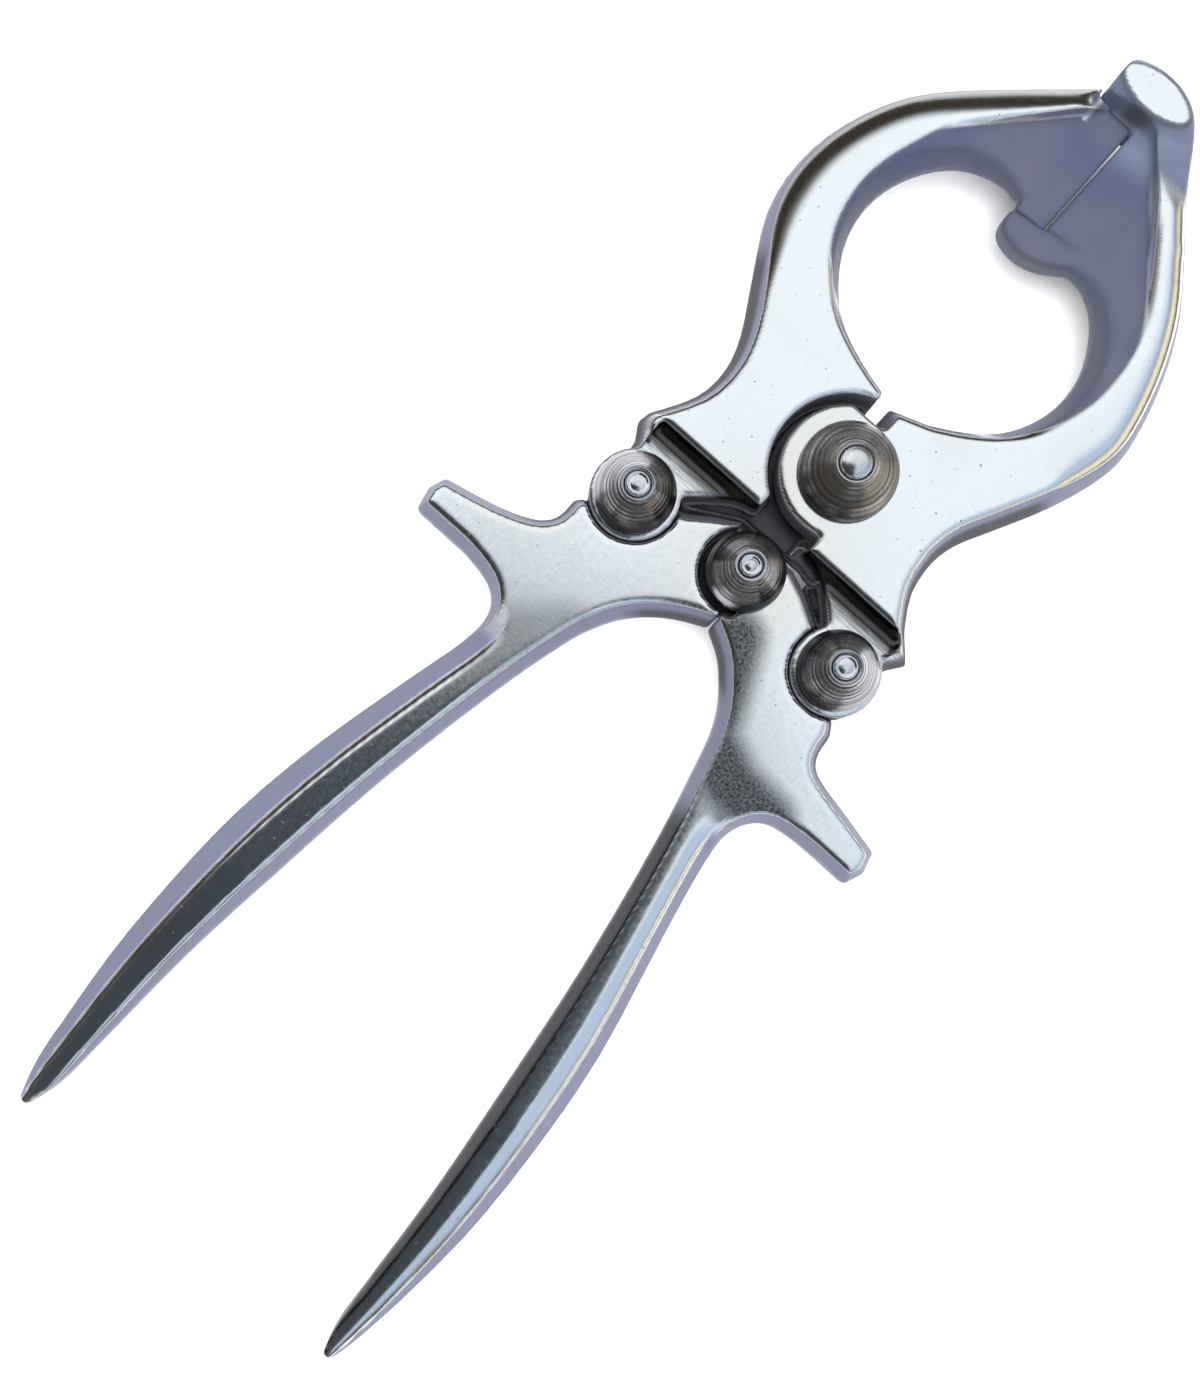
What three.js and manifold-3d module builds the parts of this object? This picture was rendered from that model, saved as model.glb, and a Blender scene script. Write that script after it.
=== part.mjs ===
// Compound-lever crushing pliers, 9 inch size: two forged jaws hinged at a main pin, and two
// forged handles that drive the jaw tails apart through a toggle. Millimetres, +Z up.
//
// The tool lies flat on its back. +Y runs from the grips to the jaw tips, +X to the right jaw.
// The origin is on the main pin's axis, on the flat end of the pin that the tool lies on.
// Each lever is a drop forging: an outline with draft on its sides, then milled and drilled.
// Levers meet in half laps: at each pivot one lever keeps its front half, the other its back.
import * as THREE from "three";
import { mergeVertices } from "three/addons/utils/BufferGeometryUtils.js";
import Module from "manifold-3d";

const wasm = await Module();
wasm.setup();

// ---- Driving dimensions ----
const JAW_HALF = 5.5; // half the jaws' thickness
const HANDLE_HALF = 4.6; // half the handles' thickness
const LAP_GAP = 0.15; // each half lap stops this far from the middle plane
const SKIRT_FACE = 2.4; // the height of the right jaw's skirt between the pivots
const FIT_GAP = 0.3; // clearance between parts that meet
const THROUGH = 20; // a cutter's reach past the faces
const SPLINE_STEPS = 3; // straight pieces between two points of a smooth outline
const MIN_STEP = 0.05; // the shortest piece of an outline

const PIVOT = {
  main: new THREE.Vector2(0, 0),
  left: new THREE.Vector2(-21.3, -22.9),
  right: new THREE.Vector2(18.4, -22.6),
  link: new THREE.Vector2(-1.45, -20.8),
};

const JAW_DRAFT = { inset: 2.1, height: 4.6 };
const HANDLE_DRAFT = { inset: 1.6, height: 3.4 };

const MAIN_BOSS = 10.2; // radius of each jaw's round boss
const MAIN_RECESS = 11.7; // radius of the recess around the other jaw's boss
const TAIL_EYE = 6.9; // radius of the jaw's front eye and the handle's back eye
const TAIL_RECESS = 7.3;
const TAIL_FACE = 4.2; // the jaw's front eye is milled down to this height
const COVE_RADIUS = 1.5; // the milling cutter's corner where that step starts
const STEP_Y = -12.2;
const LINK_FRONT_EYE = 4.5; // right handle's eye, under the front collar
const LINK_FRONT_RECESS = 7.0;
const LINK_BACK_EYE = 6.0; // left handle's eye, on the back
const LINK_BACK_RECESS = 6.4;
const LINK_SLOT = new THREE.Vector2(-2.2, -0.65); // how far the left eye's hole is lengthened
const LINK_SLOT_RADIUS = 3.0;

const SEAM_X = -2.4; // left jaw's crushing edge
const SEAM_BOTTOM = 48.3; // radii about the main pivot of the left jaw's crushing edge
const SEAM_TOP = 68.3;
const NOSE_WALL_X = -9.4;
const EDGE_HALF = 0.8; // half the thickness of the blunt crushing edges
const WEB_SLOPE = 0.19;
const HOOK_HALF = 2.4;
const NOTCH = { left: -3.9, right: -1.6, bottom: 8.1 };

const TIP_START = -136; // where a grip's narrow tip starts
const TAPER = { start: -104, end: -160, loss: 2.6 }; // grips thin by this much on each face
const PINS = {
  main: { half: JAW_HALF, shank: 4.0, tail: 2.4, base: 7.4, top: 3.3, height: 5.4 },
  left: { half: HANDLE_HALF, shank: 3.0, tail: 1.9, base: 6.1, top: 2.8, height: 5.6 },
  right: { half: HANDLE_HALF, shank: 3.0, tail: 1.9, base: 6.1, top: 2.8, height: 5.6 },
  link: { half: HANDLE_HALF, shank: 2.5, tail: 1.7, base: 6.0, top: 2.7, height: 5.6 },
};
const COLLAR_LIP = 0.6; // the straight foot of a collar
const COLLAR_EASE = 0.3; // the eased edge of its narrow end
const PIN_PROUD = 0.3; // the peened pin end stands this far out of its collar
const REST_HEIGHT = JAW_HALF + FIT_GAP + PINS.main.height + PIN_PROUD;

// ---- Solids ----
function solid(geometry) {
  const bare = geometry.clone();
  bare.deleteAttribute("normal");
  bare.deleteAttribute("uv");
  const merged = mergeVertices(bare, 1e-4);
  const corners = merged.index.array;
  const triangles = [];
  for (let i = 0; i < corners.length; i += 3) {
    const [a, b, c] = corners.slice(i, i + 3);
    if (a !== b && b !== c && c !== a) triangles.push(a, b, c);
  }
  return new wasm.Manifold(new wasm.Mesh({
    numProp: 3,
    vertProperties: merged.attributes.position.array,
    triVerts: new Uint32Array(triangles),
  }));
}

function geometryOf(manifold) {
  const mesh = manifold.getMesh();
  const geometry = new THREE.BufferGeometry();
  geometry.setAttribute("position", new THREE.Float32BufferAttribute(mesh.vertProperties, 3));
  geometry.setIndex([...mesh.triVerts]);
  geometry.computeVertexNormals();
  return geometry;
}

function prism(shape, low, high) {
  const depth = high - low;
  const geometry = new THREE.ExtrudeGeometry(shape, { depth, bevelEnabled: false });
  return solid(geometry.translate(0, 0, low));
}

function disc(centre, radius, low, high, sides = 32) {
  const geometry = new THREE.CylinderGeometry(radius, radius, high - low, sides);
  geometry.rotateX(Math.PI / 2);
  return solid(geometry.translate(centre.x, centre.y, (low + high) / 2));
}

// A forging's outline at the parting plane, with drafted sides up to flat faces.
function forging(shape, half, draft) {
  const depth = 2 * (half - draft.height);
  const geometry = new THREE.ExtrudeGeometry(shape, {
    depth,
    bevelEnabled: true,
    bevelThickness: draft.height,
    bevelSize: draft.inset,
    bevelOffset: -draft.inset,
    bevelSegments: 1,
  });
  return solid(geometry.translate(0, 0, -depth / 2));
}

function vectors(points) {
  return points.map(([x, y]) => new THREE.Vector2(x, y));
}

const polygon = (...points) => new THREE.Shape(vectors(points));

// An outline of smooth runs joined at corners: a run of two points is a straight line.
function outline(...runs) {
  const points = [];
  for (const run of runs) {
    const corners = vectors(run);
    const steps = (corners.length - 1) * SPLINE_STEPS;
    points.push(...(run.length > 2 ? new THREE.SplineCurve(corners).getPoints(steps) : corners));
  }
  const apart = points.filter((point, i) => point.distanceTo(points.at(i - 1)) > MIN_STEP);
  return new THREE.Shape(apart);
}

// Everything above a web's face, a plane that rises with distance from the crushing edge.
function aboveWeb(shape, edgeX, side) {
  const depth = 1;
  const geometry = new THREE.ExtrudeGeometry(shape, { depth, bevelEnabled: false });
  const position = geometry.attributes.position;
  for (let i = 0; i < position.count; i += 1) {
    const rise = side * (position.getX(i) - edgeX) * WEB_SLOPE;
    const z = position.getZ(i) > depth / 2 ? THROUGH : EDGE_HALF + rise;
    position.setZ(i, z);
  }
  return solid(geometry);
}

const backOf = (manifold) => manifold.mirror([0, 0, 1]);

// A round-ended slot: every place a disc passes over as it moves by the offset.
function stadium(start, offset, radius, low, high) {
  const across = new THREE.Vector2(-offset.y, offset.x).setLength(radius);
  const end = start.clone().add(offset);
  const corners = [
    start.clone().add(across),
    start.clone().sub(across),
    end.clone().sub(across),
    end.clone().add(across),
  ];
  const middle = prism(new THREE.Shape(corners), low, high);
  return disc(start, radius, low, high).add(disc(end, radius, low, high)).add(middle);
}

// A milled step across a jaw's tail: a flat at TAIL_FACE that starts in a cove.
function tailStep(left, right) {
  const flat = prism(polygon([left, -40], [right, -40], [right, STEP_Y - COVE_RADIUS],
    [left, STEP_Y - COVE_RADIUS]), TAIL_FACE, THROUGH);
  const cove = new THREE.CylinderGeometry(COVE_RADIUS, COVE_RADIUS, right - left, 16);
  cove.rotateZ(Math.PI / 2);
  cove.translate((left + right) / 2, STEP_Y - COVE_RADIUS, JAW_HALF - 0.3);
  return flat.add(solid(cove));
}

// ---- Levers ----
function leftJaw() {
  const { main, left } = PIVOT;
  const blank = forging(outline(
    [[-7.5, 72.4], [-14.8, 65.6], [-23.9, 57.4], [-30.9, 49.6], [-35.2, 40.6], [-36.7, 31.5],
      [-35.2, 22.8], [-30.2, 13.9], [-25.8, 6.4], [-24.0, 0.6], [-24.6, -5.2], [-28.3, -11.8]],
    [[-28.6, -13.8], [-26.9, -16.4]],
    [[-26.6, -21.5], [-12, -24]],
    [[4.4, -18], [4.4, -8]],
    [[-1, 0], [-1, 13.3]],
    [[-1, 13.3], [-9.5, 15.3], [-16.9, 18.8], [-22.6, 25.7], [-24.6, 33.5], [-22.9, 41],
      [-18.3, 47.2], [-12.5, 49.8], [-7.8, 49.4]],
    [[-7.8, 44.5], [1, 44.5]],
    [[1, 70.5]],
  ), JAW_HALF, JAW_DRAFT);

  const rimInside = outline(
    [[-24.5, 24.5], [-26.2, 28.5], [-26.7, 33], [-26.3, 38], [-24.9, 42.8], [-21.4, 49.6],
      [-13, 60], [-6.2, 68.3]],
    [[3, 70], [3, 24.5]],
  );
  const web = aboveWeb(rimInside, SEAM_X, -1);
  const pastSeam = prism(polygon([SEAM_X, 40], [10, 40], [10, 80], [SEAM_X, 80]), -THROUGH, THROUGH);
  const hookRoom = disc(main, SEAM_BOTTOM, -THROUGH, THROUGH, 128)
    .intersect(prism(polygon([-7.9, 40], [10, 40], [10, 55], [-7.9, 55]), -THROUGH, THROUGH));
  const noseRoom = prism(polygon([NOSE_WALL_X - FIT_GAP, 60], [10, 60], [10, 80],
    [NOSE_WALL_X - FIT_GAP, 80]), -THROUGH, THROUGH)
    .subtract(disc(main, SEAM_TOP, -THROUGH - 1, THROUGH + 1, 128));

  const front = -LAP_GAP;
  const bossRoom = disc(main, MAIN_RECESS, front, THROUGH, 40)
    .add(prism(polygon([-6.7, -30], [10, -30], [10, 16], [NOTCH.left, 16], [NOTCH.left, 5],
      [-6.2, -9.5]), front, THROUGH));
  const notch = prism(polygon([NOTCH.left, NOTCH.bottom], [10, NOTCH.bottom], [10, 16],
    [NOTCH.left, 16]), -THROUGH, THROUGH);
  const underTail = prism(outline(
    [[-6.7, -12.5], [-9.6, -13.4], [-13, -16], [-16.4, -18.9]],
    [[-16, -40], [10, -40]],
    [[10, -12.5]],
  ), front, THROUGH);
  const underBack = prism(polygon([1.8, -9], [1.8, -14.1], [-7, -14.1], [-16.2, -19.4], [-16, -40],
    [10, -40], [10, -9]), -THROUGH, 0);
  const tailEnd = prism(polygon([-40, -22.9], [-10, -22.9], [-10, -40], [-40, -40]), -THROUGH, THROUGH);
  const eyeRoom = disc(left, TAIL_RECESS, -THROUGH, LAP_GAP)
    .add(prism(polygon([-40, -19.5], [-10, -19.5], [-10, -40], [-40, -40]), -THROUGH, LAP_GAP));

  const boss = disc(main, MAIN_BOSS, -JAW_HALF, front, 40)
    .subtract(prism(polygon([-20, NOTCH.bottom], [20, NOTCH.bottom], [20, 20], [-20, 20]),
      -THROUGH, THROUGH));
  return blank
    .subtract(web).subtract(backOf(web))
    .subtract(pastSeam).subtract(hookRoom).subtract(noseRoom)
    .subtract(bossRoom).subtract(notch).subtract(underTail).subtract(underBack)
    .subtract(tailEnd).subtract(eyeRoom)
    .subtract(tailStep(-25.4, -5))
    .add(boss)
    .add(disc(left, TAIL_EYE, LAP_GAP, TAIL_FACE))
    .subtract(disc(main, PINS.main.shank + FIT_GAP, -THROUGH, THROUGH, 24))
    .subtract(disc(left, PINS.left.shank + FIT_GAP, -THROUGH, THROUGH, 24));
}

function rightJaw() {
  const { main, right } = PIVOT;
  const blank = forging(outline(
    [[26, -14.3]],
    [[22.4, -10.6], [19.4, -5.6], [18.6, 0], [19.6, 4.6], [22, 9.4], [26.6, 18.8], [29.3, 27.6],
      [29, 34], [26.4, 43], [22.3, 51.4], [16.5, 59], [10.5, 66.2], [4.8, 74.4], [0.5, 77.0],
      [-4, 77.6], [-8, 77.1]],
    [[-14, 76], [-14, 60]],
    [[-4.8, 50], [-4.8, 46]],
    [[1.5, 46]],
    [[4.3, 46.2], [8.2, 45.9], [12.3, 43.2], [15.9, 37.6], [17, 31.8], [16, 26.3], [13.2, 21.3],
      [9, 17.7], [4.3, 14.9]],
    [[-2, 12.6], [-2, -16]],
    [[12, -22], [24.0, -22]],
    [[24.0, -17]],
  ), JAW_HALF, JAW_DRAFT);
  const hook = prism(outline(
    [[-8, 48.4], [-8, 45.4]],
    [[-8, 45.4], [-7.2, 43.8], [-5.1, 43.0], [-2, 42.8], [1.5, 44.0], [4.6, 46.2]],
    [[4.6, 48.4]],
  ), -HOOK_HALF, HOOK_HALF);

  const edgeX = SEAM_X + FIT_GAP;
  const rimInside = outline(
    [[14, 19.5], [17, 24], [19, 29], [20.2, 33.5], [20, 38], [18.8, 43], [16.9, 47.2], [14, 51.6],
      [6.4, 61.6], [0.6, 69.0]],
    [[-14, 69.0], [-14, 19.5]],
  );
  const web = aboveWeb(rimInside, edgeX, 1);
  const ring = disc(main, SEAM_TOP + 0.4, -THROUGH, THROUGH, 128)
    .subtract(disc(main, SEAM_BOTTOM - 0.4, -THROUGH - 1, THROUGH + 1, 128));
  const leftJawRoom = ring.intersect(prism(polygon([-30, 40], [edgeX, 40], [edgeX, 75], [-30, 75]),
    -THROUGH, THROUGH));
  const pastNose = prism(polygon([-30, 60], [NOSE_WALL_X, 60], [NOSE_WALL_X, 90], [-30, 90]),
    -THROUGH, THROUGH);

  const back = LAP_GAP;
  const bossRoom = disc(main, MAIN_RECESS, -THROUGH, back, 40)
    .add(prism(polygon([-10, -30], [6.7, -30], [6.2, -9.5], [2, 5], [NOTCH.right, 5],
      [NOTCH.right, 16], [-10, 16]), -THROUGH, back));
  const pastBoss = prism(polygon([-10, -30], [3.4, -30], [3.4, -7], [-10, -7]), 0, THROUGH);
  const notch = prism(polygon([-10, NOTCH.bottom], [NOTCH.right, NOTCH.bottom], [NOTCH.right, 16],
    [-10, 16]), -THROUGH, THROUGH);
  const underTail = prism(outline(
    [[3.4, -12.5], [6.6, -13.1], [10, -15.5], [13.5, -18.9]],
    [[13, -40], [-10, -40]],
    [[-10, -12.5]],
  ), 0, THROUGH);
  const underBack = prism(polygon([6.8, -12.5], [6.8, -15.6], [11.2, -18.1], [13.5, -19.8],
    [13, -40], [-10, -40], [-10, -12.5]), -THROUGH, back);
  const tailEnd = prism(polygon([8, -22.6], [40, -22.6], [40, -40], [8, -40]), -THROUGH, THROUGH);
  const eyeRoom = disc(right, TAIL_RECESS, -THROUGH, back)
    .add(prism(polygon([8, -19.2], [40, -19.2], [40, -40], [8, -40]), -THROUGH, back));

  const boss = disc(main, MAIN_BOSS, back, JAW_HALF, 40)
    .subtract(prism(polygon([-20, NOTCH.bottom], [20, NOTCH.bottom], [20, 20], [-20, 20]),
      -THROUGH, THROUGH));
  const skirt = prism(polygon([2, -11.8], [7.6, -11.8], [7.6, -15.1], [5.5, -15.1], [5.2, -14.7],
    [0.6, -14.7], [0.6, -14.2], [2, -14.2]), back, SKIRT_FACE);
  return blank
    .subtract(web).subtract(backOf(web)).add(hook)
    .subtract(leftJawRoom).subtract(pastNose)
    .subtract(bossRoom).subtract(pastBoss).subtract(notch).subtract(underTail).subtract(underBack)
    .subtract(tailEnd).subtract(eyeRoom)
    .subtract(tailStep(2, 22.6))
    .add(boss).add(skirt)
    .add(disc(right, TAIL_EYE, back, TAIL_FACE))
    .subtract(disc(main, PINS.main.shank + FIT_GAP, -THROUGH, THROUGH, 24))
    .subtract(disc(right, PINS.right.shank + FIT_GAP, -THROUGH, THROUGH, 24));
}

// What lies outside a grip's narrow tip, given the tip's outline.
function aroundTip(tip) {
  const block = prism(polygon([-50, TIP_START], [-50, -170], [50, -170], [50, TIP_START]),
    -THROUGH, THROUGH);
  return block.subtract(prism(tip, -THROUGH - 1, THROUGH + 1));
}

// Wedges that thin a grip towards its tip, front and back.
function gripTaper() {
  const { start, end, loss } = TAPER;
  const side = polygon([start, HANDLE_HALF], [end, HANDLE_HALF - loss], [end, THROUGH],
    [start, THROUGH]);
  const geometry = new THREE.ExtrudeGeometry(side, { depth: 100, bevelEnabled: false });
  geometry.rotateX(Math.PI / 2);
  geometry.rotateZ(Math.PI / 2);
  geometry.translate(-50, 0, 0);
  const wedge = solid(geometry);
  return wedge.add(backOf(wedge));
}

function leftHandle() {
  const { left, link } = PIVOT;
  const blank = forging(outline(
    [[3, -28.4], [-3.1, -31.2], [-7.2, -33.9], [-10.5, -37.3], [-12.7, -41], [-14.6, -46],
      [-17.7, -59], [-21.4, -80], [-24, -102], [-25.8, -120], [-26.6, -140]].reverse(),
    [[3, -24], [3, -14.6]],
    [[-6.5, -14.6]],
    [[-10.6, -16.9], [-14, -19.5]],
    [[-20, -21], [-25, -26]],
    [[-27.8, -29], [-28, -32.6], [-30.4, -35.2], [-36, -37.4], [-44.4, -39.4]],
    [[-45.4, -42.2], [-44.6, -45.9]],
    [[-34.8, -45.9], [-29.3, -47], [-26.2, -50], [-26.1, -55.5], [-28.6, -66], [-32.2, -82],
      [-34.4, -97], [-34.9, -111], [-34.4, -126], [-32.8, -140]],
    [[-32.8, -155], [-26.6, -155]],
  ), HANDLE_HALF, HANDLE_DRAFT);
  const tip = outline(
    [[-36, -130], [-33.4, -136]],
    [[-33.4, -136], [-32, -145.4], [-30.1, -151.3]],
    [[-28.3, -151.3], [-27, -145.6], [-26.5, -136]],
    [[-24, -130]],
  );

  const front = -LAP_GAP;
  const stop = prism(polygon([-0.15, -10], [20, -10], [20, -45], [-0.15, -45]), -THROUGH, THROUGH);
  const aboveLink = prism(polygon([-6.5, -17], [-6.5, 0], [20, 0], [20, -17]), -THROUGH, THROUGH);
  const linkRoom = disc(link, LINK_FRONT_RECESS, front, THROUGH);
  const tailRoom = disc(left, TAIL_RECESS, front, THROUGH)
    .add(prism(polygon([-40, -22.9], [-16, -19.5], [-16, 0], [-40, 0]), front, THROUGH));
  return blank
    .subtract(stop).subtract(aboveLink).subtract(linkRoom).subtract(tailRoom)
    .add(disc(left, TAIL_EYE, -HANDLE_HALF, front))
    .add(disc(link, LINK_BACK_EYE, -HANDLE_HALF, front))
    .subtract(gripTaper()).subtract(aroundTip(tip))
    .subtract(disc(left, PINS.left.shank + FIT_GAP, -THROUGH, THROUGH, 24))
    .subtract(stadium(link, LINK_SLOT, LINK_SLOT_RADIUS, -THROUGH, THROUGH));
}

function rightHandle() {
  const { right, link } = PIVOT;
  const blank = forging(outline(
    [[-3, -28.4], [3.2, -31.6], [6.3, -34.3], [8.8, -37.4], [10.6, -40.8], [12.1, -45.5],
      [15.6, -59], [19.9, -80], [23, -100], [26, -122], [27.5, -139]],
    [[27.5, -153], [33, -153]],
    [[33, -138], [33.9, -123], [33.2, -107], [30.9, -89], [26, -69],
      [23.2, -56.5], [22.9, -50.5], [25.6, -46.4], [31, -45.1], [40.8, -45.1]],
    [[42, -42], [41, -38.5]],
    [[34, -37], [27.5, -35.6], [25.2, -33.6], [24.6, -30]],
    [[22, -26], [17, -21]],
    [[11.5, -18.8], [7.6, -16.6]],
    [[3.6, -15.0], [-3, -16.2]],
    [[-3, -24]],
  ), HANDLE_HALF, HANDLE_DRAFT);
  const tip = outline(
    [[24, -130], [27.3, -136]],
    [[27.3, -136], [28.2, -145], [29.4, -149.5]],
    [[31, -149.5], [32, -145.5], [33.2, -136]],
    [[36, -130]],
  );

  const back = LAP_GAP;
  const stop = prism(polygon([0.15, -27], [-20, -27], [-20, -45], [0.15, -45]), -THROUGH, THROUGH);
  const beforeLink = prism(polygon([link.x, 0], [-20, 0], [-20, -45], [link.x, -45]), -THROUGH, THROUGH);
  const aroundFrontEye = disc(link, LINK_FRONT_RECESS, back, THROUGH)
    .intersect(prism(polygon([-9, 0], [1.6, 0], [1.6, -30], [-9, -30]), -THROUGH, THROUGH))
    .subtract(disc(link, LINK_FRONT_EYE, -THROUGH, THROUGH));
  const offset = new THREE.Vector2(-LINK_SLOT.x, LINK_SLOT.y);
  const linkRoom = stadium(link, offset, LINK_BACK_RECESS, -THROUGH, back)
    .add(prism(polygon([-20, 0], [2.5, 0], [2.5, -20], [-20, -20]), -THROUGH, back));
  const tailRoom = disc(right, TAIL_RECESS, back, THROUGH)
    .add(prism(polygon([13.4, -20], [13.4, 0], [40, 0], [40, -22.6]), back, THROUGH));
  return blank
    .subtract(stop).subtract(beforeLink)
    .subtract(aroundFrontEye).subtract(linkRoom).subtract(tailRoom)
    .add(disc(right, TAIL_EYE, -HANDLE_HALF, -LAP_GAP))
    .add(disc(link, LINK_FRONT_EYE, back, HANDLE_HALF))
    .subtract(gripTaper()).subtract(aroundTip(tip))
    .subtract(disc(right, PINS.right.shank + FIT_GAP, -THROUGH, THROUGH, 24))
    .subtract(disc(link, PINS.link.shank + FIT_GAP, -THROUGH, THROUGH, 24));
}

// ---- Pins and collars ----
function turned(profile, sides = 24) {
  const geometry = new THREE.LatheGeometry(vectors(profile), sides);
  return geometry.rotateX(Math.PI / 2);
}

// A shouldered pin: a thick shank through the levers, thinner ends through the collars.
function pin({ half, shank, tail, height }) {
  const shoulder = half + FIT_GAP / 2;
  const end = half + FIT_GAP + height + PIN_PROUD;
  return turned([[0, -end], [tail, -end], [tail, -shoulder], [shank, -shoulder],
    [shank, shoulder], [tail, shoulder], [tail, end], [0, end]], 20);
}

// A conical collar, its foot at z = 0 and its narrow end up.
function collar({ tail, base, top, height }) {
  const bore = tail + FIT_GAP;
  return turned([[bore, 0], [base, 0], [base, COLLAR_LIP], [top, height - COLLAR_EASE],
    [top - COLLAR_EASE, height], [bore, height], [bore, 0]]);
}

// ---- Assembly ----
const STEEL = { forged: "#c9d2da", bright: "#e6eef4", turned: "#a9abb2" };

function mesh(name, geometry, colour, roughness) {
  const material = new THREE.MeshStandardMaterial({ color: colour, roughness, metalness: 1 });
  const body = new THREE.Mesh(geometry, material);
  body.name = name;
  return body;
}

function collarAt(name, pivot, size, face, side) {
  const body = mesh(name, collar(size), STEEL.turned, 0.35);
  body.position.set(pivot.x, pivot.y, side * (face + FIT_GAP));
  if (side < 0) body.rotation.x = Math.PI;
  return body;
}

const tool = new THREE.Group();
tool.position.z = REST_HEIGHT;

const levers = {
  left_jaw: leftJaw,
  right_jaw: rightJaw,
  left_handle: leftHandle,
  right_handle: rightHandle,
};
for (const [name, make] of Object.entries(levers)) {
  tool.add(mesh(name, geometryOf(make()), STEEL.forged, 0.25));
}
for (const [name, size] of Object.entries(PINS)) {
  const pivot = PIVOT[name];
  const body = mesh(`${name}_pin`, pin(size), STEEL.bright, 0.3);
  body.position.set(pivot.x, pivot.y, 0);
  tool.add(body);
  tool.add(collarAt(`${name}_collar_front`, pivot, size, size.half, 1));
  tool.add(collarAt(`${name}_collar_back`, pivot, size, size.half, -1));
}
tool.updateMatrixWorld(true);

export default tool;
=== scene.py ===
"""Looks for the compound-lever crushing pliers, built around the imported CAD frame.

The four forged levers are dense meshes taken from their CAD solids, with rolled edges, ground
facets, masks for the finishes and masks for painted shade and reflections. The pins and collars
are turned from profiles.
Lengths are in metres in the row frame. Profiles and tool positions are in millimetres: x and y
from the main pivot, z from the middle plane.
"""
import math

import bmesh
import bpy
import numpy as np
from mathutils import Matrix, Vector
from mathutils.kdtree import KDTree


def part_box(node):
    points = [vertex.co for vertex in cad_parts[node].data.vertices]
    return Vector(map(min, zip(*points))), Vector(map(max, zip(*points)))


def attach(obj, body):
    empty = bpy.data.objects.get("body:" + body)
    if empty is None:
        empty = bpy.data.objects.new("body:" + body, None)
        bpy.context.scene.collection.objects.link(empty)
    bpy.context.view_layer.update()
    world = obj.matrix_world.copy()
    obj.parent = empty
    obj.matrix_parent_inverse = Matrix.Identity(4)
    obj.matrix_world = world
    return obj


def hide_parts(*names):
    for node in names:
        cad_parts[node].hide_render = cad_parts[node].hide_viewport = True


MM = 0.001
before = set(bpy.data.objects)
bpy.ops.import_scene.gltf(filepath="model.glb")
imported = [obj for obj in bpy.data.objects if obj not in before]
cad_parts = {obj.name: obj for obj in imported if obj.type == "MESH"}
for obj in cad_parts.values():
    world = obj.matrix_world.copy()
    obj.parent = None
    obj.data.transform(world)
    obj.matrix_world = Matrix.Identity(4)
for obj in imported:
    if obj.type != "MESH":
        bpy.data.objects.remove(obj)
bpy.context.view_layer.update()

LEVERS = {
    "left_jaw": "left_jaw_assembly",
    "right_jaw": "right_jaw_assembly",
    "left_handle": "left_handle_assembly",
    "right_handle": "right_handle_assembly",
}
PINS = {
    "main": "left_jaw_assembly",
    "left": "left_jaw_assembly",
    "right": "right_jaw_assembly",
    "link": "right_handle_assembly",
}


def middle(node):
    """The middle of a CAD node's box."""
    low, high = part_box(node)
    return (low + high) / 2


PIVOT = {name: middle(f"{name}_pin") for name in PINS}
MID_Z = PIVOT["main"].z
VOXEL = 0.38 * MM
TURNED_SIDES = 96
PEEN_DENT = 0.02


# ---- Small helpers for arrays ----
def smoothstep(low, high, value):
    """A smooth rise from 0 at low to 1 at high, or a fall where high is the lesser."""
    t = np.clip((value - low) / (high - low), 0, 1)
    return t * t * (3 - 2 * t)


def coordinates(mesh):
    co = np.empty(len(mesh.vertices) * 3, np.float32)
    mesh.vertices.foreach_get("co", co)
    return co.reshape(-1, 3).astype(float)


def normals(mesh):
    no = np.empty(len(mesh.vertices) * 3, np.float32)
    mesh.vertices.foreach_get("normal", no)
    return no.reshape(-1, 3).astype(float)


def set_coordinates(mesh, co):
    mesh.vertices.foreach_set("co", co.astype(np.float32).ravel())
    mesh.update()


class Smoother:
    """Laplacian smoothing over a mesh's edges, with a weight for each vertex."""

    def __init__(self, mesh):
        edges = np.empty(len(mesh.edges) * 2, np.int32)
        mesh.edges.foreach_get("vertices", edges)
        first, second = edges.reshape(-1, 2).T
        self.start = np.concatenate([first, second])
        self.end = np.concatenate([second, first])
        self.count = len(mesh.vertices)
        self.degree = np.maximum(np.bincount(self.start, minlength=self.count), 1)

    def average(self, values):
        total = np.bincount(self.start, weights=values[self.end], minlength=self.count)
        return total / self.degree

    def smooth(self, values, rounds, weight=1.0):
        for _ in range(rounds):
            values = values + weight * (self.average(values) - values)
        return values

    def smooth_points(self, co, rounds, weight=1.0):
        return np.stack([self.smooth(co[:, k], rounds, weight) for k in range(3)], axis=1)


# ---- Levers ----
def remeshed(node):
    """A dense, even mesh of a CAD node's solid."""
    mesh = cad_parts[node].data.copy()
    welded = bmesh.new()
    welded.from_mesh(mesh)
    bmesh.ops.remove_doubles(welded, verts=welded.verts, dist=1e-6)
    welded.to_mesh(mesh)
    welded.free()
    piece = bpy.data.objects.new(f"{node}_forging", mesh)
    bpy.context.scene.collection.objects.link(piece)
    modifier = piece.modifiers.new("even", "REMESH")
    modifier.mode = "VOXEL"
    modifier.voxel_size = VOXEL
    graph = bpy.context.evaluated_depsgraph_get()
    dense = bpy.data.meshes.new_from_object(piece.evaluated_get(graph))
    piece.modifiers.clear()
    piece.data = dense
    dense.materials.clear()
    return piece


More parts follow.
